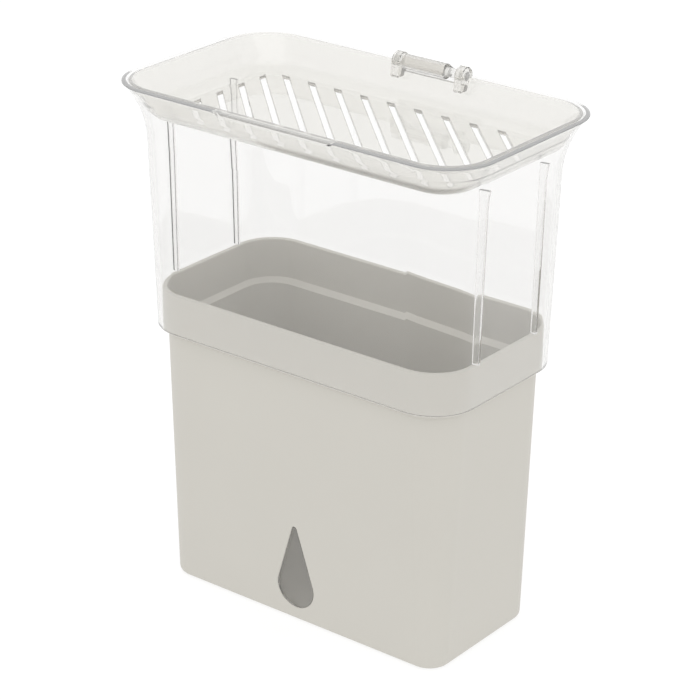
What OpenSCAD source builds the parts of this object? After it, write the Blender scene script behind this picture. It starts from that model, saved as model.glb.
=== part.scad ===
// Herb keeper for a fridge door: an opaque water reservoir with a teardrop level window,
// a clear flared sleeve that drops over its collar, and a vented tray lid on a pin hinge.
// Millimetres, +Z up, origin on the table under the middle of the reservoir, front at -Y.

/* [Reservoir] */
// Outside length of the reservoir at the table
base_len = 159.6; // [150:0.2:164]
// Outside depth of the reservoir at the table
base_dep = 75.8; // [68:0.2:80]
// Corner radius of the reservoir at the table
base_corner = 11; // [8:0.5:16]
// Outside length of the reservoir just under its collar
body_len = 168.2; // [165:0.2:170]
// Outside depth of the reservoir just under its collar
body_dep = 84.6; // [81:0.2:87]
// Corner radius of the reservoir just under its collar
body_corner = 18; // [14:0.5:20]
// Outside length of the collar
collar_len = 172.6; // [171:0.1:173]
// Outside depth of the collar
collar_dep = 90.4; // [89:0.1:91]
// Corner radius of the collar
collar_corner = 20.5; // [18:0.5:22]
// Height of the step under the collar
collar_z = 130; // [120:0.5:134]
// Height of the reservoir's rim
base_h = 151.7; // [145:0.1:160]
// Wall thickness of the reservoir
base_wall = 2.4; // [1.8:0.1:3]
// Floor thickness of the reservoir
base_floor = 2.6; // [2:0.1:4]
// Radius of the edge round the reservoir's foot
foot_edge = 3; // [1:0.5:4]

/* [Level window] */
// Width of the teardrop
window_w = 21.4; // [14:0.2:26]
// Height of the teardrop
window_h = 43.1; // [36:0.1:56]
// Height of the teardrop's lowest point above the table
window_z = 7.3; // [7:0.1:20]
// Distance of the teardrop from the middle of the front
window_x = -1; // [-30:0.5:30]
// Radius of the teardrop's blunt tip
window_tip = 1.4; // [0.8:0.1:3]
// Width of the bonding flange round the pane, inside the wall
window_flange = 1.8; // [1:0.1:2.5]
// Thickness of the bonding flange
window_flange_t = 1.2; // [0.8:0.1:1.6]

/* [Sleeve] */
// Outside length of the sleeve at its hem
hem_len = 176.8; // [176.8:0.1:178]
// Outside depth of the sleeve at its hem
hem_dep = 94.6; // [94.6:0.1:96]
// Corner radius of the sleeve at its hem
hem_corner = 22; // [20:0.5:24]
// Height of the hem
hem_z = 132; // [131:0.5:138]
// Outside length of the rim
rim_len = 200; // [196:0.5:204]
// Outside depth of the rim
rim_dep = 113.7; // [112:0.1:115]
// Corner radius of the rim
rim_corner = 24.2; // [22:0.2:28]
// Height of the rim
rim_z = 251; // [249:0.5:254]
// Outward draft of the plain wall between the hem and the flare
sleeve_draft = 2.3; // [1.5:0.1:2.6]
// Height at which the wall starts to flare
flare_z = 222; // [218:0.5:226]
// Angle of the flare to the vertical at the rim
flare_angle = 35; // [25:1:40]
// Wall thickness of the sleeve
sleeve_wall = 1.9; // [1.6:0.1:2]
// Distance between the two fins of one short wall
fin_span = 44; // [30:1:50]
// Thickness of a fin
fin_t = 1.6; // [1.2:0.1:2.5]
// Depth of a fin's inner edge from the middle of the sleeve, at its foot
fin_foot_x = 84.2; // [83:0.1:85]
// The same at its head
fin_head_x = 85.5; // [84:0.1:87]
// Height of the fins' flat heads, which carry the lid
fin_head_z = 233.4; // [232:0.1:233.4]

/* [Lid] */
// Height of the tray's underside
tray_z = 233.7; // [233.7:0.1:236]
// Outside length of the tray at its floor
tray_len = 176; // [170:0.5:178]
// Outside depth of the tray at its floor
tray_dep = 88; // [84:0.5:92]
// Corner radius of the tray at its floor
tray_corner = 20; // [14:0.5:22]
// Wall thickness of the tray
tray_wall = 1.8; // [1.6:0.1:2.2]
// Thickness of the tray's floor
tray_floor = 1.8; // [1.4:0.1:2.4]
// Gap between the lid and the sleeve at the rim, measured level
lid_gap = 0.4; // [0.4:0.05:0.6]
// Length of the field of vent slots
vent_len = 157; // [120:1:160]
// Depth of the field of vent slots
vent_dep = 75; // [60:1:76]
// Width of a vent slot
vent_w = 3.3; // [2:0.1:5]
// Distance between neighbouring slots, along the lid
vent_pitch = 15.5; // [10:0.5:20]
// Number of slots on each side of the middle one
vent_side_count = 6; // [2:1:6]
// Width of the finger tab at its lower edge
tab_w = 60; // [30:1:70]
// Thickness of the finger tab
tab_t = 2; // [1.4:0.1:2.6]

/* [Hinge] */
// Distance of the hinge from the middle of the back
hinge_x = 7; // [-20:1:20]
// Distance of the pin from the middle of the keeper, towards the back
pin_y = 50; // [49.6:0.1:50.4]
// Height of the pin
pin_z = 252.4; // [252:0.1:253]
// Radius of the pin
pin_r = 2.2; // [1.5:0.1:2.4]
// Width of the hinge across its two ears
hinge_w = 40; // [36:1:50]
// Thickness of an ear
ear_t = 4.4; // [3:0.1:5]
// Radius of an ear round the pin
ear_r = 4.3; // [3.8:0.1:4.4]
// Outside radius of the knuckle on the sleeve
knuckle_r = 3.6; // [3.2:0.1:3.8]
// Length of the knuckle
knuckle_len = 24; // [16:0.5:24]

/* [Hidden] */
$fn = 48;

corner_steps = 10;   // facets in each corner of a lofted section
edge_steps = 3;      // facets across a rounded edge
flare_steps = 7;     // facets up a flared wall
rim_edge = 0.6;      // rounding of the moulded rims
shoulder_drop = 1.4; // height of the slope under the collar
seat_gap = 0.3;      // play where one moulding stands on another
running_gap = 0.05;  // radial play of the pin in the knuckle
side_gap = 0.5;      // play beside the knuckle
overlap = 0.8;       // how deep a fin is sunk in the wall that carries it

// ---- Lofting: a section is [length, depth, corner radius, height] ----

function lerp(a, b, t) = a + (b - a) * t;

function inset(s, by) = [s[0] - 2 * by, s[1] - 2 * by, s[2] - by, s[3]];

function section_between(low, high, z) = let (t = (z - low[3]) / (high[3] - low[3]))
    [lerp(low[0], high[0], t), lerp(low[1], high[1], t), lerp(low[2], high[2], t), z];

// The rounded rectangle of a section as points, anticlockwise from above
function ring(s) = [
    for (q = [0:3], i = [0:corner_steps])
        let (
            a = 90 * (q + i / corner_steps),
            centre_x = (q == 0 || q == 3 ? 1 : -1) * (s[0] / 2 - s[2]),
            centre_y = (q < 2 ? 1 : -1) * (s[1] / 2 - s[2])
        )
        [centre_x + s[2] * cos(a), centre_y + s[2] * sin(a), s[3]]
];

// A skin over sections in order. It is capped at both ends, or closed on itself as a tube.
module skin(sections, closed = false) {
    n = 4 * (corner_steps + 1);
    count = len(sections);
    last = count - 1;
    points = [for (s = sections) each ring(s)];
    sides = [
        for (k = [0:(closed ? last : last - 1)], j = [0:n - 1])
            let (
                here = k * n,
                above = ((k + 1) % count) * n,
                next = (j + 1) % n
            )
            each [[here + j, above + j, above + next], [here + j, above + next, here + next]]
    ];
    first_cap = [for (j = [0:n - 1]) j];
    last_cap = [for (j = [n - 1:-1:0]) last * n + j];
    caps = closed ? [] : [first_cap, last_cap];
    polyhedron(points = points, faces = concat(sides, caps), convexity = 8);
}

// ---- Reservoir ----

foot_section = [base_len, base_dep, base_corner, 0];
body_section = [body_len, body_dep, body_corner, collar_z];
collar_low = [collar_len, collar_dep, collar_corner, collar_z + 0.6];
collar_high = [collar_len, collar_dep, collar_corner, base_h - rim_edge];
front_lean = atan((body_dep - base_dep) / 2 / collar_z);

function body_at(z) = section_between(foot_section, body_section, z);

function at_height(s, z) = [s[0], s[1], s[2], z];

module reservoir_tub() {
    foot = [
        for (i = [0:edge_steps])
            let (a = 90 * i / edge_steps)
            inset(body_at(foot_edge * (1 - cos(a))), foot_edge * (1 - sin(a)))
    ];
    inner_edge = 2;
    skin(concat(foot, [
        body_at(collar_z - shoulder_drop),
        collar_low,
        collar_high,
        inset(at_height(collar_high, base_h), rim_edge),
        inset(at_height(collar_high, base_h), base_wall - rim_edge),
        inset(collar_high, base_wall),
        inset(at_height(collar_high, collar_z + 1.8), base_wall),
        inset(body_at(collar_z - 0.4), base_wall),
        inset(body_at(base_floor + inner_edge), base_wall),
        inset(body_at(base_floor), base_wall + inner_edge)
    ]));
}

module reservoir() {
    color([0.82, 0.80, 0.76])
    difference() {
        reservoir_tub();
        on_front_wall() translate([0, 0, -2 * base_wall])
            linear_extrude(4 * base_wall) polygon(teardrop());
    }
}

// ---- Level window ----

// The teardrop, grown outwards: a low round belly and straight flanks up to a blunt tip
function teardrop(grow = 0) = let (
    belly = window_w / 2 + grow,
    tip = window_tip + grow,
    belly_z = window_z + window_w / 2,
    rise = window_h - window_w / 2 - window_tip,
    lean = asin((belly - tip) / rise),
    belly_steps = 28,
    tip_steps = 6
) [
    for (i = [0:belly_steps])
        let (a = lerp(180 - lean, 360 + lean, i / belly_steps))
        [belly * cos(a), belly_z + belly * sin(a)],
    for (i = [0:tip_steps])
        let (a = lerp(lean, 180 - lean, i / tip_steps))
        [tip * cos(a), belly_z + rise + tip * sin(a)]
];

// Stands a flat outline up on the leaning front wall, its height along Y, outwards along Z
module on_front_wall() {
    translate([window_x, -base_dep / 2, 0]) rotate([90 + front_lean, 0, 0]) children();
}

module level_window() {
    pane_t = base_wall * cos(front_lean);
    color([0.92, 0.95, 0.94, 0.5])
    on_front_wall() {
        translate([0, 0, -pane_t - window_flange_t])
            linear_extrude(pane_t + window_flange_t) polygon(teardrop());
        translate([0, 0, -pane_t - window_flange_t])
            linear_extrude(window_flange_t) polygon(teardrop(window_flange));
    }
}

// ---- Sleeve ----

hem_section = [hem_len, hem_dep, hem_corner, hem_z];
flare_low = [hem_len + 2 * sleeve_draft, hem_dep + 2 * sleeve_draft, hem_corner + 0.5, flare_z];
rim_section = [rim_len, rim_dep, rim_corner, rim_z];
flare_rise = rim_z - flare_z;

// The flare follows an arc that leans from the vertical to flare_angle at the rim
function flare_lean(z) = asin(sin(flare_angle) * (z - flare_z) / flare_rise);

function flare_part(z) = (1 - cos(flare_lean(z))) / (1 - cos(flare_angle));

function flare_at(z) = let (t = flare_part(z))
    [for (i = [0:2]) lerp(flare_low[i], rim_section[i], t), z];

function sleeve_at(z) = z < flare_z ? section_between(hem_section, flare_low, z) : flare_at(z);

function sleeve_inside(z) = inset(sleeve_at(z),
    sleeve_wall / (z < flare_z ? 1 : cos(flare_lean(z))));

function fin_wall_x(z) = sleeve_inside(z)[0] / 2 + overlap;

module sleeve_wall_skin() {
    rise = [for (i = [0:flare_steps]) flare_z + (flare_rise - rim_edge) * i / flare_steps];
    skin(concat(
        [hem_section],
        [for (z = rise) sleeve_at(z)],
        [at_height(rim_section, rim_z - rim_edge / 2)],
        [inset(rim_section, rim_edge / 2)],
        [sleeve_inside(rim_z)],
        [for (i = [flare_steps:-1:0]) sleeve_inside(rise[i])],
        [sleeve_inside(hem_z)]
    ), closed = true);
}

// One upright fin on a short wall. Its foot stands on the collar, its head carries the lid.
module fin() {
    foot_z = base_h + seat_gap;
    rotate([90, 0, 0]) linear_extrude(fin_t, center = true) polygon([
        [fin_foot_x, foot_z],
        [fin_wall_x(foot_z), foot_z],
        [fin_wall_x(flare_z), flare_z],
        [fin_wall_x(fin_head_z), fin_head_z],
        [fin_head_x, fin_head_z]
    ]);
}

// Cuts the rim so that the finger tab lies flush in it
module tab_recess() {
    translate([0, -rim_dep / 2, 0]) rotate([90, 0, 0])
        linear_extrude(rim_dep / 4, center = true)
            polygon(tab_outline(side_gap, rim_z - tab_t - seat_gap, rim_z + 1));
}

knuckle_x = hinge_x - hinge_w / 2 + ear_t + side_gap;

module knuckle() {
    bridge_back = rim_dep / 2 - rim_edge;
    bridge_foot = rim_z - 1.2;
    along_x(knuckle_x, knuckle_len) {
        translate([pin_y, pin_z]) circle(knuckle_r);
        polygon([
            [pin_y + 1, pin_z + knuckle_r * 0.9],
            [bridge_back, rim_z + 1.2],
            [bridge_back, bridge_foot],
            [bridge_back - sleeve_wall, bridge_foot],
            [pin_y + knuckle_r * 0.9, pin_z - 1.5],
            [pin_y, pin_z - 1.5]
        ]);
    }
}

module sleeve() {
    color([0.94, 0.95, 0.95, 0.35])
    difference() {
        union() {
            sleeve_wall_skin();
            for (side = [0, 1], y = [-1, 1])
                mirror([side, 0, 0]) translate([0, y * fin_span / 2, 0]) fin();
            knuckle();
        }
        tab_recess();
        translate([knuckle_x - 1, pin_y, pin_z]) rotate([0, 90, 0])
            cylinder(h = knuckle_len + 2, r = pin_r + running_gap);
    }
}

// ---- Lid ----

tray_low = [tray_len, tray_dep, tray_corner, tray_z];
tray_high = at_height(inset(sleeve_inside(rim_z - rim_edge), lid_gap), rim_z);
tray_curve = 1.25;
tab_end_slope = 3.2;

function tray_at(z) = let (t = pow((z - tray_z) / (rim_z - tray_z), tray_curve))
    [for (i = [0:2]) lerp(tray_low[i], tray_high[i], t), z];

// The tray is one moulding: up its outside, over the rim, down its inside to the floor
module tray() {
    floor_z = tray_z + tray_floor;
    floor_edge = 0.8;
    steps = [1.4, 5, 9, 13];
    difference() {
        skin(concat(
            [inset(tray_low, floor_edge)],
            [for (dz = steps) tray_at(tray_z + dz)],
            [at_height(tray_high, rim_z - rim_edge / 2)],
            [inset(tray_high, rim_edge / 2)],
            [inset(tray_high, tray_wall - rim_edge / 2)],
            [inset(tray_at(rim_z - rim_edge), tray_wall)],
            [for (i = [len(steps) - 1:-1:1]) inset(tray_at(tray_z + steps[i]), tray_wall)],
            [inset(tray_at(floor_z + floor_edge), tray_wall)],
            [inset(tray_at(floor_z), tray_wall + floor_edge)]
        ));
        translate([0, 0, tray_z - 1]) linear_extrude(tray_floor + 2) vents();
    }
}

module rounded_rectangle(length, depth, radius) {
    square([length - 2 * radius, depth], center = true);
    square([length, depth - 2 * radius], center = true);
    for (x = [-1, 1], y = [-1, 1])
        translate([x * (length / 2 - radius), y * (depth / 2 - radius)]) circle(radius);
}

// Diagonal slots whose ends stop square on one rounded field
module vents() {
    field_corner = 7;
    intersection() {
        rounded_rectangle(vent_len, vent_dep, field_corner);
        for (k = [-vent_side_count:vent_side_count])
            translate([k * vent_pitch, 0]) rotate(-45)
                square([2 * vent_dep, vent_w], center = true);
    }
}

// The tab seen from the front, grown by a gap: its ends slope in towards the lower edge
function tab_outline(grow, low, high) = let (
    half = tab_w / 2 + grow,
    low_spread = tab_end_slope * (low - rim_z + tab_t) / tab_t,
    high_spread = tab_end_slope * (high - rim_z + tab_t) / tab_t
) [
    [-half - low_spread, low],
    [half + low_spread, low],
    [half + high_spread, high],
    [-half - high_spread, high]
];

module finger_tab() {
    root = tray_high[1] / 2 - tray_wall / 2;
    translate([0, -root, 0]) rotate([90, 0, 0]) linear_extrude(rim_dep / 2 - root)
        polygon(tab_outline(0, rim_z - tab_t, rim_z));
}

// An ear: round about the pin, with a leg down the inside of the tray's back wall
module ear(x) {
    leg_z = tray_z + 11.6;
    leg_front = pin_y - 5;
    leg_root = tray_at(leg_z)[1] / 2 - tray_wall / 2;
    top_root = tray_high[1] / 2 - tray_wall / 2;
    along_x(x, ear_t) {
        translate([pin_y, pin_z]) circle(ear_r);
        polygon([
            [pin_y - ear_r, pin_z],
            [leg_front, leg_z],
            [leg_root, leg_z],
            [top_root, rim_z - rim_edge],
            [pin_y + ear_r * 0.7, pin_z]
        ]);
    }
}

// Extrudes a profile drawn as [Y, Z] along X
module along_x(x, length) {
    translate([x, 0, 0]) rotate([90, 0, 90]) linear_extrude(length) children();
}

// Clears the tray's back wall between the ears, for the knuckle and its bridge
module knuckle_notch() {
    notch_z = rim_z - 3.6;
    notch_low = hinge_x - hinge_w / 2 + ear_t;
    translate([notch_low, pin_y - 8, notch_z]) cube([hinge_w - 2 * ear_t, 16, 10]);
}

module vented_lid() {
    color([0.95, 0.95, 0.94, 0.8])
    difference() {
        union() {
            difference() {
                tray();
                knuckle_notch();
            }
            finger_tab();
            ear(hinge_x - hinge_w / 2);
            ear(hinge_x + hinge_w / 2 - ear_t);
        }
        translate([hinge_x - hinge_w / 2 - 1, pin_y, pin_z]) rotate([0, 90, 0])
            cylinder(h = hinge_w + 2, r = pin_r);
    }
}

// ---- Hinge pin ----

module hinge_pin() {
    color([0.90, 0.90, 0.88])
    translate([hinge_x - hinge_w / 2, pin_y, pin_z]) rotate([0, 90, 0])
        cylinder(h = hinge_w, r = pin_r);
}

reservoir();
level_window();
sleeve();
vented_lid();
hinge_pin();
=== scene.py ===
# Herb keeper: an opaque water reservoir with a level window, a clear flared sleeve and a
# vented tray lid on a pin hinge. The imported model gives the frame. The pieces' sizes are
# written in millimetres and their meshes are made in metres. The studio is in metres.

import math
from collections import namedtuple

import bmesh
import bpy
from mathutils import Matrix, Vector


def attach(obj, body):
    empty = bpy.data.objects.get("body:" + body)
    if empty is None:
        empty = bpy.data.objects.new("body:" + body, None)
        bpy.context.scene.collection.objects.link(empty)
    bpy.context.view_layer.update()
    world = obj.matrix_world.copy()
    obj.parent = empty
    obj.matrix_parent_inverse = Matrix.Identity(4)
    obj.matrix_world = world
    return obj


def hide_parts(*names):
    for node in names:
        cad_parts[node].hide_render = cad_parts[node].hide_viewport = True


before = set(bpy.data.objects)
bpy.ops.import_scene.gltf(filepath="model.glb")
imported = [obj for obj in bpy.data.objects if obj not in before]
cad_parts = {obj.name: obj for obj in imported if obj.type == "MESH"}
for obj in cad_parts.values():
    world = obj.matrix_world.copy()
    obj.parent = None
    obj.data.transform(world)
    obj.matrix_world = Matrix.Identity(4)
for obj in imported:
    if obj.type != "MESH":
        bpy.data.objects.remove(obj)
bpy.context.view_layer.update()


# ---- Reservoir --------------------------------------------------------------------------
# The tub that holds the water: one moulding of opaque warm-grey polypropylene. It tapers to
# the foot so that it leaves its mould, and a proud collar under the rim carries the sleeve.

MM = 0.001
CORNER_STEPS = 20
EDGE_STEPS = 5

# One level of a wall: a rounded rectangle's length, depth and corner radius, and its height
Section = namedtuple("Section", "length depth corner z")


def section_inset(section, by):
    """The same rounded rectangle, drawn in on every side."""
    length, depth, corner, z = section
    return Section(length - 2 * by, depth - 2 * by, corner - by, z)


def at_height(section, z):
    """The same outline at another height."""
    return section._replace(z=z)


def section_blend(low, high, part, z):
    """The outline that is part of the way from one section to another, at height z."""
    return Section(*(a + (b - a) * part for a, b in zip(low[:3], high[:3])), z)


def section_between(low, high, z):
    """The section at height z on the straight wall between two sections."""
    return section_blend(low, high, (z - low.z) / (high.z - low.z), z)


def arc(centre, radius, start, end, steps):
    """Points on an arc, with angles in degrees from the first axis towards the second."""
    points = []
    for i in range(steps + 1):
        a = math.radians(start + (end - start) * i / steps)
        points.append((centre[0] + radius * math.cos(a), centre[1] + radius * math.sin(a)))
    return points


def ring(section):
    """A section's outline, anticlockwise from above."""
    length, depth, corner, z = section
    points = []
    for side_x, side_y, start in ((1, 1, 0), (-1, 1, 90), (-1, -1, 180), (1, -1, 270)):
        centre = (side_x * (length / 2 - corner), side_y * (depth / 2 - corner))
        points += [(x, y, z) for x, y in arc(centre, corner, start, start + 90, CORNER_STEPS)]
    return points


def quarter_round(radius):
    """Steps over a rounded edge, from a wall to its end: (in from the wall, off the end)."""
    return [(radius - x, radius - y) for x, y in arc((0, 0), radius, 0, 90, EDGE_STEPS)]


def rounded_rim(top, wall, radius):
    """A wall's rounded top edge, from its outside over to its inside."""
    outer = []
    for inward, down in quarter_round(radius):
        outer.append(section_inset(at_height(top, top.z - down), inward))
    inner = [section_inset(s, wall - (top.length - s.length)) for s in reversed(outer)]
    return outer + inner


def skin(name, rings, closed=False):
    """A piece over rings of equal count, capped at both ends or closed on itself as a tube."""
    shape = bmesh.new()
    rows = [[shape.verts.new(Vector(p) * MM) for p in points] for points in rings]
    following = rows[1:] + (rows[:1] if closed else [])
    for low, high in zip(rows, following):
        for i in range(len(low)):
            j = (i + 1) % len(low)
            shape.faces.new((low[i], low[j], high[j], high[i]))
    if not closed:
        shape.faces.new(rows[0])
        shape.faces.new(rows[-1])
    bmesh.ops.recalc_face_normals(shape, faces=shape.faces)
    mesh = bpy.data.meshes.new(name)
    shape.to_mesh(mesh)
    shape.free()
    piece = bpy.data.objects.new(name, mesh)
    bpy.context.scene.collection.objects.link(piece)
    return piece


def settle(piece):
    """Puts what the piece's modifiers make into its mesh."""
    bpy.context.view_layer.update()
    shown = piece.evaluated_get(bpy.context.evaluated_depsgraph_get())
    settled = bpy.data.meshes.new_from_object(shown)
    piece.modifiers.clear()
    piece.data = settled


def combine(piece, tool, operation):
    """Joins a tool to the piece, or cuts it away. The tool is used up."""
    boolean = piece.modifiers.new("combine", "BOOLEAN")
    boolean.operation = operation
    boolean.solver = "MANIFOLD"
    boolean.object = tool
    settle(piece)
    bpy.data.objects.remove(tool)


CREASE_DEGREES = 32


def polish(piece):
    """Smooth shading over the curves, crisp at the edges, with flat walls kept flat."""
    piece.data.shade_smooth()
    piece.data.set_sharp_from_angle(angle=math.radians(CREASE_DEGREES))
    weighted = piece.modifiers.new("weighted", "WEIGHTED_NORMAL")
    weighted.keep_sharp = True
    settle(piece)


FOOT = Section(159.6, 75.8, 11.0, 0.0)
BODY_TOP = Section(168.2, 84.6, 18.0, 130.0)
COLLAR = Section(172.6, 90.4, 20.5, 151.7)
TUB_WALL = 2.4
TUB_FLOOR = 2.6
FOOT_ROUND = 3.0
RIM_ROUND = 0.8
INNER_ROUND = 2.0
# The middle of a two-facet round lies this share of its radius in from both faces
ROUND_MIDDLE = 0.3
# An extra level just under the shoulder keeps the shading of the wall flat
FLAT_WALL_Z = 128.0
SHOULDER_Z = 128.6
COLLAR_FOOT_Z = 130.6
# The collar's soft lower edge, as (up from its foot, in from its wall)
COLLAR_EDGE = ((-0.3, 0.45), (0, 0.12), (0.5, 0))
INNER_SHOULDER_Z = 129.6
INNER_COLLAR_Z = 131.8


def tub_at(z):
    """The tub's outside at height z, on the straight wall from the foot to the shoulder."""
    return section_between(FOOT, BODY_TOP, z)


def tub_rings():
    """Up the outside, over the rim and down the inside to the floor."""
    foot = []
    for inward, up in reversed(quarter_round(FOOT_ROUND)):
        foot.append(section_inset(tub_at(up), inward))
    shoulder = [tub_at(FLAT_WALL_Z), tub_at(SHOULDER_Z)]
    for up, inward in COLLAR_EDGE:
        shoulder.append(section_inset(at_height(COLLAR, COLLAR_FOOT_Z + up), inward))
    middle = ROUND_MIDDLE * INNER_ROUND
    inside = [
        section_inset(at_height(COLLAR, INNER_COLLAR_Z), TUB_WALL),
        section_inset(tub_at(INNER_SHOULDER_Z), TUB_WALL),
        section_inset(tub_at(TUB_FLOOR + INNER_ROUND), TUB_WALL),
        section_inset(tub_at(TUB_FLOOR + middle), TUB_WALL + middle),
        section_inset(tub_at(TUB_FLOOR), TUB_WALL + INNER_ROUND),
    ]
    rim = rounded_rim(COLLAR, TUB_WALL, RIM_ROUND)
    return [ring(s) for s in foot + shoulder + rim + inside]


tub = skin("reservoir_tub", tub_rings())

# The teardrop's outline: a low round belly and straight flanks up to a blunt tip
WINDOW_WIDTH = 21.4
WINDOW_HEIGHT = 43.1
WINDOW_FOOT_Z = 7.3
WINDOW_X = -1.0
TIP_RADIUS = 1.4
BELLY_STEPS = 64
TIP_STEPS = 16
FRONT_LEAN = math.atan((BODY_TOP.depth - FOOT.depth) / 2 / BODY_TOP.z)


def teardrop(grow, outward):
    """The teardrop as points on the front wall, grown by a width and set out from the wall."""
    belly = WINDOW_WIDTH / 2 + grow
    tip = TIP_RADIUS + grow
    belly_z = WINDOW_FOOT_Z + WINDOW_WIDTH / 2
    rise = WINDOW_HEIGHT - WINDOW_WIDTH / 2 - TIP_RADIUS
    lean = math.degrees(math.asin((belly - tip) / rise))
    flat = arc((0, belly_z), belly, 180 - lean, 360 + lean, BELLY_STEPS)
    flat += arc((0, belly_z + rise), tip, lean, 180 - lean, TIP_STEPS)
    stand = Matrix.Rotation(math.pi / 2 + FRONT_LEAN, 3, "X")
    foot = Vector((WINDOW_X, -FOOT.depth / 2, 0))
    return [tuple(foot + stand @ Vector((x, z, outward))) for x, z in flat]


CUT_ROUND = 0.35
# How far a cutting tool reaches past the plastic
PAST = 1.0
combine(tub, skin("teardrop_cut", [
    teardrop(0, -3 * TUB_WALL),
    teardrop(0, -CUT_ROUND),
    teardrop(ROUND_MIDDLE * CUT_ROUND, -ROUND_MIDDLE * CUT_ROUND),
    teardrop(CUT_ROUND, 0),
    teardrop(CUT_ROUND, 2 * PAST),
]), "DIFFERENCE")
polish(tub)


def coat(piece, material):
    """Gives the whole piece one material."""
    piece.data.materials.clear()
    piece.data.materials.append(material)
    for face in piece.data.polygons:
        face.material_index = 0


def linear(hex_colour):
    """An sRGB hex colour as the linear RGBA that a shader socket takes."""
    rgb = [int(hex_colour[i:i + 2], 16) / 255 for i in (0, 2, 4)]
    return [c / 12.92 if c <= 0.04045 else ((c + 0.055) / 1.055) ** 2.4 for c in rgb] + [1.0]


def add(material, kind, inputs, **settings):
    """Adds a node. Each input is a value, or the socket that feeds it."""
    tree = material.node_tree
    made = tree.nodes.new("ShaderNode" + kind)
    for name, value in settings.items():
        setattr(made, name, value)
    for name, value in inputs.items():
        if isinstance(value, bpy.types.NodeSocket):
            tree.links.new(value, made.inputs[name])
        else:
            made.inputs[name].default_value = value
    return made


def empty_material(name):
    """A material with no nodes yet."""
    material = bpy.data.materials.new(name)
    material.use_nodes = True
    material.node_tree.nodes.clear()
    return material


def satin_polypropylene():
    """Polypropylene from a spark-eroded mould: opaque, soft sheen, even colour, fine grain."""
    # The real grain is about 0.3 mm. It is drawn at 0.8 mm, so that it shows.
    grain = 0.8 * MM
    # Slow changes of tone where the melt flowed and cooled, across about a third of a wall
    flow = 55 * MM
    material = empty_material("satin_polypropylene")
    place = add(material, "TexCoord", {}).outputs["Object"]
    cloud = add(material, "TexNoise", {"Vector": place, "Scale": 1 / flow, "Detail": 2.0})
    tone = add(material, "MixRGB", {
        "Fac": cloud.outputs["Fac"],
        "Color1": linear("C4C1B9"),
        "Color2": linear("C8C5BD"),
    })
    pits = add(material, "TexNoise", {"Vector": place, "Scale": 1 / grain, "Detail": 3.0})
    sheen = add(material, "MapRange", {
        "Value": pits.outputs["Fac"],
        "To Min": 0.42,
        "To Max": 0.56,
    })
    relief = add(material, "Bump", {
        "Height": pits.outputs["Fac"],
        "Strength": 0.35,
        "Distance": 0.02 * MM,
    })
    surface = add(material, "BsdfPrincipled", {
        "Base Color": tone.outputs["Color"],
        "Roughness": sheen.outputs["Result"],
        "Normal": relief.outputs["Normal"],
        "IOR": 1.49,
    })
    add(material, "OutputMaterial", {"Surface": surface.outputs["BSDF"]})
    return material


coat(tub, satin_polypropylene())
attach(tub, "reservoir_body")
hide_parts("reservoir")


# ---- Level window -----------------------------------------------------------------------
# A clear pane of styrene-acrylonitrile in the teardrop. Its flange is bonded to the inside
# of the front wall, and its face lies flush with the outside.

FLANGE_WIDTH = 1.8
FLANGE_THICKNESS = 1.2
PANE_PLAY = 0.05
PANE_ROUND = 0.3
pane_back = -(TUB_WALL * math.cos(FRONT_LEAN) + FLANGE_THICKNESS)
flange_front = pane_back + FLANGE_THICKNESS - PANE_PLAY
pane = skin("window_pane", [
    teardrop(FLANGE_WIDTH - PANE_ROUND, pane_back),
    teardrop(FLANGE_WIDTH, pane_back + PANE_ROUND),
    teardrop(FLANGE_WIDTH, flange_front),
    teardrop(-PANE_PLAY, flange_front),
    teardrop(-PANE_PLAY, -PANE_ROUND),
    teardrop(-PANE_PLAY - ROUND_MIDDLE * PANE_ROUND, -ROUND_MIDDLE * PANE_ROUND),
    teardrop(-PANE_PLAY - PANE_ROUND, 0),
])
polish(pane)


def let_lamps_through(material, surface, tint, density):
    """Soft light and shadow rays pass a clear wall straight; what is seen through it bends.
    The plastic takes its colour by depth, at a density per metre.
    """
    path = add(material, "LightPath", {})
    either = add(material, "Math", {
        0: path.outputs["Is Shadow Ray"],
        1: path.outputs["Is Diffuse Ray"],
    }, operation="MAXIMUM")
    straight = add(material, "BsdfTransparent", {"Color": (1.0, 1.0, 1.0, 1.0)})
    mixed = add(material, "MixShader", {
        0: either.outputs["Value"],
        1: surface.outputs["BSDF"],
        2: straight.outputs["BSDF"],
    })
    depth = add(material, "VolumeAbsorption", {"Color": linear(tint), "Density": density})
    add(material, "OutputMaterial", {
        "Surface": mixed.outputs["Shader"],
        "Volume": depth.outputs["Volume"],
    })


def by_height(material, place, value):
    """A hex colour or a share: one for the whole piece, or stops of (height, value)."""
    if isinstance(value, str):
        return linear(value)
    if isinstance(value, float):
        return value
    height = add(material, "SeparateXYZ", {"Vector": place}).outputs["Z"]
    top = value[-1][0]
    part = add(material, "MapRange", {"Value": height, "From Max": top * MM}).outputs["Result"]
    ramp = add(material, "ValToRGB", {"Fac": part})
    elements = ramp.color_ramp.elements
    for i, (z, stop) in enumerate(value):
        element = elements[i] if i < len(elements) else elements.new(z / top)
        element.position = z / top
        element.color = linear(stop) if isinstance(stop, str) else (stop, stop, stop, 1.0)
    return ramp.outputs["Color"]


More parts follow.
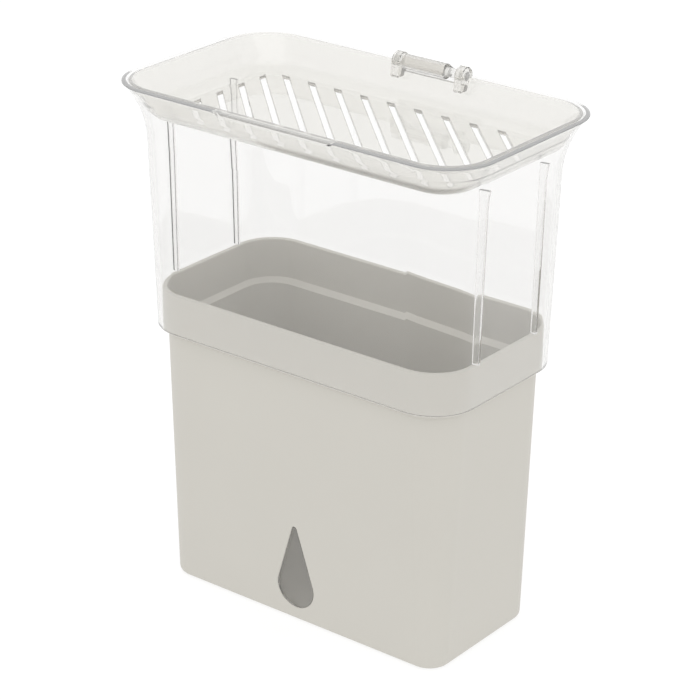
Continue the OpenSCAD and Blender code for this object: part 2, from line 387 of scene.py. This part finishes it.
def moulded_copolymer(name, colour, density, clear_share):
    """Styrene-acrylonitrile from a polished mould: clear as glass, with grey in its edges.
    clear_share is how much of the light goes straight through.
    """
    # Moulded walls are never quite flat: shallow waves, about 30 mm apart
    wave = 30 * MM
    material = empty_material(name)
    place = add(material, "TexCoord", {}).outputs["Object"]
    waves = add(material, "TexNoise", {"Vector": place, "Scale": 1 / wave, "Detail": 1.0})
    relief = add(material, "Bump", {
        "Height": waves.outputs["Fac"],
        "Strength": 0.25,
        "Distance": 0.015 * MM,
    })
    surface = add(material, "BsdfPrincipled", {
        "Base Color": by_height(material, place, colour),
        "Roughness": 0.02,
        "Normal": relief.outputs["Normal"],
        "IOR": 1.57,
        "Transmission Weight": by_height(material, place, clear_share),
    })
    let_lamps_through(material, surface, tint="D8D6D2", density=density)
    return material


coat(pane, moulded_copolymer(
    "clear_copolymer_pane",
    colour="FFFFFF",
    density=70.0,
    clear_share=0.985,
))
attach(pane, "reservoir_body")
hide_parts("level_window")


# ---- Sleeve -----------------------------------------------------------------------------
# The clear body, open at both ends, moulded of the same clear plastic as the window. It
# drops over the collar, stands on it with four inner fins, and flares out to a wide rim.

HEM = Section(176.8, 94.6, 22.0, 132.0)
FLARE_FOOT = Section(181.4, 99.2, 22.5, 222.0)
RIM = Section(200.0, 113.7, 24.2, 251.0)
FLARE_DEGREES = 35
FLARE_STEPS = 24
SLEEVE_WALL = 1.9
HEM_ROUND = 0.2
SLEEVE_ROUND = 0.6
FLARE_TOP_Z = RIM.z - SLEEVE_ROUND
# How far in from the inner wall the middle of the rim's inner round lies
INNER_RIM_MIDDLE = 0.04


def flare_lean(z):
    """How far the flaring wall leans out at a height, in radians."""
    part = (z - FLARE_FOOT.z) / (RIM.z - FLARE_FOOT.z)
    return math.asin(math.sin(math.radians(FLARE_DEGREES)) * part)


def sleeve_at(z):
    """The sleeve's outside at height z: a straight wall, then an arc out to the rim."""
    if z <= FLARE_FOOT.z:
        return section_between(HEM, FLARE_FOOT, z)
    part = (1 - math.cos(flare_lean(z))) / (1 - math.cos(math.radians(FLARE_DEGREES)))
    return section_blend(FLARE_FOOT, RIM, part, z)


def sleeve_inside(z):
    """The sleeve's inside at height z, one wall in, measured square to the wall."""
    lean = flare_lean(z) if z > FLARE_FOOT.z else 0
    return section_inset(sleeve_at(z), SLEEVE_WALL / math.cos(lean))


def sleeve_rings():
    """Round the hem, up the outside, over the rim and down the inside."""
    hem = []
    for inward, up in reversed(quarter_round(HEM_ROUND)):
        hem.append(section_inset(sleeve_at(HEM.z + up), inward))
    rise = FLARE_TOP_Z - FLARE_FOOT.z
    levels = [FLARE_FOOT.z + rise * i / FLARE_STEPS for i in range(FLARE_STEPS)]
    flare = [sleeve_at(z) for z in levels]
    rim = []
    for inward, down in quarter_round(SLEEVE_ROUND):
        rim.append(section_inset(at_height(RIM, RIM.z - down), inward))
    inner_rim = sleeve_inside(RIM.z)
    inner_middle = section_inset(inner_rim, INNER_RIM_MIDDLE)
    inside = [
        section_inset(inner_rim, -SLEEVE_ROUND / 2),
        at_height(inner_middle, RIM.z - SLEEVE_ROUND / 2),
    ]
    inside += [sleeve_inside(z) for z in reversed(levels + [FLARE_TOP_Z])]
    middle = ROUND_MIDDLE * HEM_ROUND
    inner_hem = [
        sleeve_inside(HEM.z + HEM_ROUND),
        section_inset(sleeve_inside(HEM.z + middle), -middle),
        section_inset(sleeve_inside(HEM.z), -HEM_ROUND),
    ]
    return [ring(s) for s in hem + flare + rim + inside + inner_hem]


sleeve = skin("clear_sleeve", sleeve_rings(), closed=True)

# Two small gaps, under a piece that rests on another and beside one that moves past it
SEAT_GAP = 0.3
SIDE_GAP = 0.5

FIN_HALF_SPAN = 22.0
FIN_THICKNESS = 1.6
FIN_FOOT_X = 84.2
FIN_HEAD_X = 85.5
FIN_FOOT_Z = COLLAR.z + SEAT_GAP
FIN_HEAD_Z = 233.4
FIN_ROOT = 0.8
FIN_ROUND = 0.45
# Levels up a fin, close together where the wall begins to flare
FIN_LEVELS = (FIN_FOOT_Z, FLARE_FOOT.z, FLARE_FOOT.z + 4, FLARE_FOOT.z + 8, FIN_HEAD_Z)


def fin_rings(side_x, y):
    """One fin as sections up its height. Its inner edge is rounded, its root is in the wall."""
    half = FIN_THICKNESS / 2
    rings = []
    for z in FIN_LEVELS:
        part = (z - FIN_FOOT_Z) / (FIN_HEAD_Z - FIN_FOOT_Z)
        round_x = FIN_FOOT_X + (FIN_HEAD_X - FIN_FOOT_X) * part + FIN_ROUND
        root = sleeve_inside(z).length / 2 + FIN_ROOT
        outline = [(root, -half), (root, half)]
        outline += arc((round_x, half - FIN_ROUND), FIN_ROUND, 90, 180, EDGE_STEPS)
        outline += arc((round_x, FIN_ROUND - half), FIN_ROUND, 180, 270, EDGE_STEPS)
        rings.append([(side_x * x, y + dy, z) for x, dy in outline])
    return rings


for side_x in (-1, 1):
    for side_y in (-1, 1):
        combine(sleeve, skin("fin", fin_rings(side_x, side_y * FIN_HALF_SPAN)), "UNION")

# The hinge stands a little to the right of the middle of the back
HINGE_X = 7.0
HINGE_WIDTH = 40.0
HINGE_LEFT = HINGE_X - HINGE_WIDTH / 2
HINGE_RIGHT = HINGE_X + HINGE_WIDTH / 2
PIN_Y = 50.0
PIN_Z = 252.4
PIN_RADIUS = 2.2
PIN_SIDES = 48
PIN_PLAY = 0.05
EAR_THICKNESS = 4.4
END_ROUND = 0.3


def along_x(name, outline, x, length, edge=END_ROUND):
    """A bar with a [Y, Z] outline along X, its two end edges softened."""
    middle = Vector((sum(p[0] for p in outline), sum(p[1] for p in outline))) / len(outline)
    rings = []
    for at, shrink in ((0, edge), (edge, 0), (length - edge, 0), (length, edge)):
        row = []
        for p in outline:
            away = Vector(p) - middle
            keep = 1 - shrink / max(away.length, shrink)
            row.append((x + at, *(middle + away * keep)))
        rings.append(row)
    return skin(name, rings)


def rod(name, radius, x, length, edge=END_ROUND):
    """A round bar on the pin's axis."""
    outline = arc((PIN_Y, PIN_Z), radius, 0, 360, PIN_SIDES)[:-1]
    return along_x(name, outline, x, length, edge)


KNUCKLE_RADIUS = 3.6
KNUCKLE_LENGTH = 24.0
KNUCKLE_X = HINGE_LEFT + EAR_THICKNESS + SIDE_GAP
KNUCKLE_STEPS = 40
# Where the bridge to the rim leaves the knuckle's round, above it and below, in degrees
BRIDGE_ANGLES = (62, 312)
BRIDGE_BACK = RIM.depth / 2 - SLEEVE_ROUND
BRIDGE_FOOT_Z = RIM.z - 1.2
BRIDGE_TOP_Z = RIM.z + 1.5
# The bevel along the bridge's back edge, as (in, down)
BRIDGE_BEVEL = (0.6, 0.9)

knuckle_outline = arc((PIN_Y, PIN_Z), KNUCKLE_RADIUS, *BRIDGE_ANGLES, KNUCKLE_STEPS) + [
    (BRIDGE_BACK - SLEEVE_WALL, BRIDGE_FOOT_Z),
    (BRIDGE_BACK, BRIDGE_FOOT_Z),
    (BRIDGE_BACK, BRIDGE_TOP_Z - BRIDGE_BEVEL[1]),
    (BRIDGE_BACK - BRIDGE_BEVEL[0], BRIDGE_TOP_Z),
]
combine(sleeve, along_x("knuckle", knuckle_outline, KNUCKLE_X, KNUCKLE_LENGTH), "UNION")
bore = rod("bore", PIN_RADIUS + PIN_PLAY, KNUCKLE_X - PAST, KNUCKLE_LENGTH + 2 * PAST)
combine(sleeve, bore, "DIFFERENCE")

TAB_WIDTH = 60.0
TAB_THICKNESS = 2.0
TAB_SLOPE = 3.2
RECESS_DEPTH = 14.0


def tab_rings(grow, low, high, back, front):
    """The finger tab, or the recess for it. Its ends slope in towards the lower edge."""
    rings = []
    for y in (back, front):
        row = []
        for z, side in ((low, -1), (low, 1), (high, 1), (high, -1)):
            spread = TAB_SLOPE * (z - RIM.z + TAB_THICKNESS) / TAB_THICKNESS
            row.append((side * (TAB_WIDTH / 2 + grow + spread), y, z))
        rings.append(row)
    return rings


combine(sleeve, skin("tab_recess", tab_rings(
    SIDE_GAP,
    RIM.z - TAB_THICKNESS - SEAT_GAP,
    RIM.z + PAST,
    -RIM.depth / 2 + RECESS_DEPTH,
    -RIM.depth / 2 - 5 * PAST,
)), "DIFFERENCE")
polish(sleeve)

# The rim is made hazy: a paler, less clear band over its top that is a painted highlight. The thick
# hinge above it is hazy and greyer, a painted shade.
RIM_HIGHLIGHT_SHARE = 0.62
RIM_HIGHLIGHT_START_Z = RIM.z - 0.8
RIM_HIGHLIGHT_FULL_Z = RIM.z - 0.5
HINGE_START_Z = RIM.z + 0.1
HINGE_FULL_Z = RIM.z + 0.3
# The last stop lies above the whole keeper
STOPS_TOP_Z = 260.0
COLOURLESS = "FFFFFF"
HINGE_PAINTED_SHADE = "EDEBE7"


def rim_share_with_painted_highlight(wall_share, hinge_share):
    """The clear share from just under the rim to above the hinge, as stops. The lower share at the rim
    is a painted highlight.
    """
    return (
        (RIM_HIGHLIGHT_START_Z, wall_share),
        (RIM_HIGHLIGHT_FULL_Z, RIM_HIGHLIGHT_SHARE),
        (HINGE_START_Z, RIM_HIGHLIGHT_SHARE),
        (HINGE_FULL_Z, hinge_share),
        (STOPS_TOP_Z, hinge_share),
    )


coat(sleeve, moulded_copolymer(
    "clear_copolymer_sleeve",
    # The grey above the rim is painted shade on the hinge
    colour=(
        (0, COLOURLESS),
        (HINGE_START_Z, COLOURLESS),
        (HINGE_FULL_Z, HINGE_PAINTED_SHADE),
        (STOPS_TOP_Z, HINGE_PAINTED_SHADE),
    ),
    density=84.0,
    clear_share=((0, 0.985), *rim_share_with_painted_highlight(wall_share=0.985, hinge_share=0.88)),
))
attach(sleeve, "sleeve_body")
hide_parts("sleeve")


# ---- Vented lid -------------------------------------------------------------------------
# A shallow tray that nests in the flare: a slightly milky moulding, with diagonal slots that
# let air through, a finger tab at the front and two ears for the hinge at the back.

TRAY_FLOOR_Z = 233.7
TRAY_WALL = 1.8
TRAY_FLOOR = 1.8
TRAY_ROUND = 0.5
TRAY_STEPS = 14
BOWL_TOP_Z = 242.0
# The tray's distance from the flare, at the top of the bowl and at the rim
BOWL_GAP = 0.7
LID_GAP = 0.4
TRAY_TOP = at_height(section_inset(sleeve_inside(FLARE_TOP_Z), LID_GAP), RIM.z)


def tray_at(z):
    """The tray's wall, which follows the flare a little inside it."""
    part = (z - BOWL_TOP_Z) / (RIM.z - BOWL_TOP_Z)
    low = section_inset(sleeve_inside(z), BOWL_GAP)
    high = section_inset(sleeve_inside(min(z, FLARE_TOP_Z)), LID_GAP)
    return section_blend(low, high, part, z)


def tray_rings():
    """Round a wide bowl from the flat floor, up the wall, over the rim and back down."""
    turn = math.pi / 2 - flare_lean(BOWL_TOP_Z)
    bowl = (BOWL_TOP_Z - TRAY_FLOOR_Z) / (1 - math.cos(turn))
    flat = section_inset(tray_at(BOWL_TOP_Z), bowl * math.sin(turn))
    outside = []
    inside = []
    for i in range(TRAY_STEPS + 1):
        a = turn * i / TRAY_STEPS
        for side, radius in ((outside, bowl), (inside, bowl - TRAY_FLOOR)):
            z = TRAY_FLOOR_Z + bowl - radius * math.cos(a)
            side.append(section_inset(at_height(flat, z), -radius * math.sin(a)))
    inner_foot_z = inside[-1].z
    wall_top_z = RIM.z - TRAY_ROUND
    for i in range(1, TRAY_STEPS):
        z = BOWL_TOP_Z + (wall_top_z - BOWL_TOP_Z) * i / TRAY_STEPS
        outside.append(tray_at(z))
        z = inner_foot_z + (wall_top_z - inner_foot_z) * i / TRAY_STEPS
        inside.append(section_inset(tray_at(z), TRAY_WALL))
    inside.reverse()
    return [ring(s) for s in outside + rounded_rim(TRAY_TOP, TRAY_WALL, TRAY_ROUND) + inside]


lid = skin("slotted_lid", tray_rings())

VENT_LENGTH = 157.0
VENT_DEPTH = 77.0
VENT_WIDTH = 2.9
VENT_PITCH = 15.5
VENTS_EACH_SIDE = 6
VENT_ROUND = 0.2


def clipped(outline, axis, sign, limit):
    """The part of a polygon within a limit on one side of an axis."""
    kept = []
    for a, b in zip(outline, outline[1:] + outline[:1]):
        inside = sign * a[axis] <= limit
        if inside:
            kept.append(a)
        if inside != (sign * b[axis] <= limit):
            kept.append(a.lerp(b, (sign * limit - a[axis]) / (b[axis] - a[axis])))
    return kept


def vent_outline(k, grow):
    """One diagonal slot, from back left to front right, its ends cut along the field's edges."""
    half = VENT_WIDTH / 2 + grow
    across = Vector((1, 1)).normalized() * half
    # Long enough to pass both edges of the field
    along = Vector((1, -1)).normalized() * VENT_DEPTH
    middle = Vector((k * VENT_PITCH, 0))
    outline = [
        middle - along - across,
        middle + along - across,
        middle + along + across,
        middle - along + across,
    ]
    for axis, reach in ((0, VENT_LENGTH / 2), (1, VENT_DEPTH / 2)):
        for sign in (-1, 1):
            outline = clipped(outline, axis, sign, reach + grow)
    return outline


# The slots' edges are softened at both faces of the floor, as (height, growth)
floor_top_z = TRAY_FLOOR_Z + TRAY_FLOOR
VENT_LEVELS = (
    (TRAY_FLOOR_Z - PAST, VENT_ROUND),
    (TRAY_FLOOR_Z, VENT_ROUND),
    (TRAY_FLOOR_Z + VENT_ROUND, 0),
    (floor_top_z - VENT_ROUND, 0),
    (floor_top_z, VENT_ROUND),
    (floor_top_z + PAST, VENT_ROUND),
)
for k in range(-VENTS_EACH_SIDE, VENTS_EACH_SIDE + 1):
    vent_rings = [[(p.x, p.y, z) for p in vent_outline(k, grow)] for z, grow in VENT_LEVELS]
    combine(lid, skin("vent", vent_rings), "DIFFERENCE")

# The back wall is notched between the ears, for the knuckle
NOTCH_FOOT_Z = 247.4
NOTCH_TOP_Z = 258.0
NOTCH_REACH = 8.0
notch_rings = []
for x in (HINGE_LEFT + EAR_THICKNESS, HINGE_RIGHT - EAR_THICKNESS):
    notch_rings.append([
        (x, PIN_Y - NOTCH_REACH, NOTCH_FOOT_Z),
        (x, PIN_Y + NOTCH_REACH, NOTCH_FOOT_Z),
        (x, PIN_Y + NOTCH_REACH, NOTCH_TOP_Z),
        (x, PIN_Y - NOTCH_REACH, NOTCH_TOP_Z),
    ])
combine(lid, skin("knuckle_notch", notch_rings), "DIFFERENCE")

# The tab and the ears grow from the middle of the tray's wall
rim_root = TRAY_TOP.depth / 2 - TRAY_WALL / 2
tab = tab_rings(0, RIM.z - TAB_THICKNESS, RIM.z, -rim_root, -RIM.depth / 2)
combine(lid, skin("finger_tab", tab), "UNION")

EAR_RADIUS = 4.29
EAR_ANGLES = (-20, 180)
EAR_STEPS = 36
LEG_FOOT_Z = TRAY_FLOOR_Z + 11.6
# The toe of an ear's leg, as (out, up)
LEG_TOE = (0.5, 0.6)
HOLE_PLAY = 0.02

leg_root = tray_at(LEG_FOOT_Z).depth / 2 - TRAY_WALL / 2
ear_front = PIN_Y - EAR_RADIUS
ear_outline = arc((PIN_Y, PIN_Z), EAR_RADIUS, *EAR_ANGLES, EAR_STEPS) + [
    (ear_front - LEG_TOE[0], LEG_FOOT_Z + LEG_TOE[1]),
    (ear_front, LEG_FOOT_Z),
    (leg_root, LEG_FOOT_Z),
    (rim_root, FLARE_TOP_Z),
]
for x in (HINGE_LEFT, HINGE_RIGHT - EAR_THICKNESS):
    combine(lid, along_x("ear", ear_outline, x, EAR_THICKNESS), "UNION")
hole = rod("pin_hole", PIN_RADIUS + HOLE_PLAY, HINGE_LEFT - PAST, HINGE_WIDTH + 2 * PAST)
combine(lid, hole, "DIFFERENCE")
polish(lid)

# A little white in the same plastic: still clear, but paler, and milkier round its floor
FLOOR_END_Z = TRAY_FLOOR_Z + 3
WALL_START_Z = TRAY_FLOOR_Z + 6
FLOOR_SHARE = 0.81
FLOOR_MILK = "EFEEEA"
WALL_MILK = "F4F3F0"
coat(lid, moulded_copolymer(
    "milky_copolymer_lid",
    colour=(
        (0, FLOOR_MILK),
        (FLOOR_END_Z, FLOOR_MILK),
        (WALL_START_Z, WALL_MILK),
        (STOPS_TOP_Z, WALL_MILK),
    ),
    density=48.0,
    clear_share=(
        (0, FLOOR_SHARE),
        (FLOOR_END_Z, FLOOR_SHARE),
        (WALL_START_Z, 0.88),
        # The lid's rim has the same painted highlight as the sleeve's
        *rim_share_with_painted_highlight(wall_share=0.88, hinge_share=0.95),
    ),
))
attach(lid, "lid_body")
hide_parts("vented_lid")


# ---- Hinge pin --------------------------------------------------------------------------
# A plain moulded rod with softened ends, pressed through the lid's two ears. It turns in the
# sleeve's knuckle.

PIN_END_ROUND = 0.4
pin = rod("pin_rod", PIN_RADIUS, HINGE_LEFT, HINGE_WIDTH, PIN_END_ROUND)
polish(pin)
coat(pin, moulded_copolymer(
    "clear_copolymer_pin",
    colour="FCFCFB",
    density=60.0,
    clear_share=0.85,
))
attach(pin, "lid_body")
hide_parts("hinge_pin")


# ---- Studio -----------------------------------------------------------------------------
# A white table top lit from below, a wide soft light, and the camera where it really stood.

TABLE_REACH = 4.0
# The table lies a hair under the foot, so that no two faces share a plane
TABLE_Z = -0.2 * MM
table_mesh = bpy.data.meshes.new("table_top")
table_mesh.from_pydata(
    [(x * TABLE_REACH, y * TABLE_REACH, 0) for x, y in ((-1, -1), (1, -1), (1, 1), (-1, 1))],
    [],
    [(0, 1, 2, 3)],
)
table = bpy.data.objects.new("table_top", table_mesh)
table.location.z = TABLE_Z
bpy.context.scene.collection.objects.link(table)


def lit_acrylic():
    """A matte white acrylic table top, lit from below, so that shadows stay faint."""
    material = empty_material("lit_acrylic")
    surface = add(material, "BsdfPrincipled", {
        "Base Color": linear("959595"),
        "Roughness": 0.9,
        "IOR": 1.3,
        "Emission Color": (1.0, 1.0, 1.0, 1.0),
        "Emission Strength": 0.74,
    })
    add(material, "OutputMaterial", {"Surface": surface.outputs["BSDF"]})
    return material


coat(table, lit_acrylic())

world = bpy.data.worlds.new("studio")
bpy.context.scene.world = world
world.use_nodes = True
sky = world.node_tree.nodes["Background"]
sky.inputs["Color"].default_value = (1.0, 1.0, 1.0, 1.0)
sky.inputs["Strength"].default_value = 1.0

LAMP_PLACE = Vector((0.7, -1.1, 2.2))
LAMP_AIM = Vector((0, 0, 0.1))
lamp = bpy.data.lights.new("top_light", "AREA")
lamp.shape = "SQUARE"
lamp.size = 3.0
lamp.energy = 9
holder = bpy.data.objects.new("top_light", lamp)
holder.location = LAMP_PLACE
holder.rotation_euler = (LAMP_AIM - LAMP_PLACE).to_track_quat("-Z", "Y").to_euler()
bpy.context.scene.collection.objects.link(holder)

# The camera, as fitted to the photograph
AZIMUTH = 37.795
ELEVATION = 23.936
ROLL = 0.552
DISTANCE = 1.210778
AIM_Z = 0.130
FOCAL_PIXELS = 2618.23
IMAGE_PIXELS = 700
OFF_RIGHT = 0.17 * MM
OFF_UP = -2.84 * MM

turn = math.radians(AZIMUTH)
tilt = math.radians(ELEVATION)
back = Vector((math.sin(turn) * math.cos(tilt), -math.cos(turn) * math.cos(tilt), math.sin(tilt)))
right = Vector((math.cos(turn), math.sin(turn), 0))
up = back.cross(right)
roll = math.radians(ROLL)
cam_right = right * math.cos(roll) + up * math.sin(roll)
cam_up = up * math.cos(roll) - right * math.sin(roll)
eye = Vector((0, 0, AIM_Z)) + back * DISTANCE + right * OFF_RIGHT + up * OFF_UP
lens = bpy.data.cameras.new("camera")
lens.sensor_width = 36.0
lens.lens = FOCAL_PIXELS / IMAGE_PIXELS * lens.sensor_width
lens.clip_end = 20.0
camera = bpy.data.objects.new("camera", lens)
camera.matrix_world = Matrix.Translation(eye) @ Matrix((cam_right, cam_up, back)).transposed().to_4x4()
bpy.context.scene.collection.objects.link(camera)
bpy.context.scene.camera = camera
bpy.context.scene.view_settings.view_transform = "Standard"
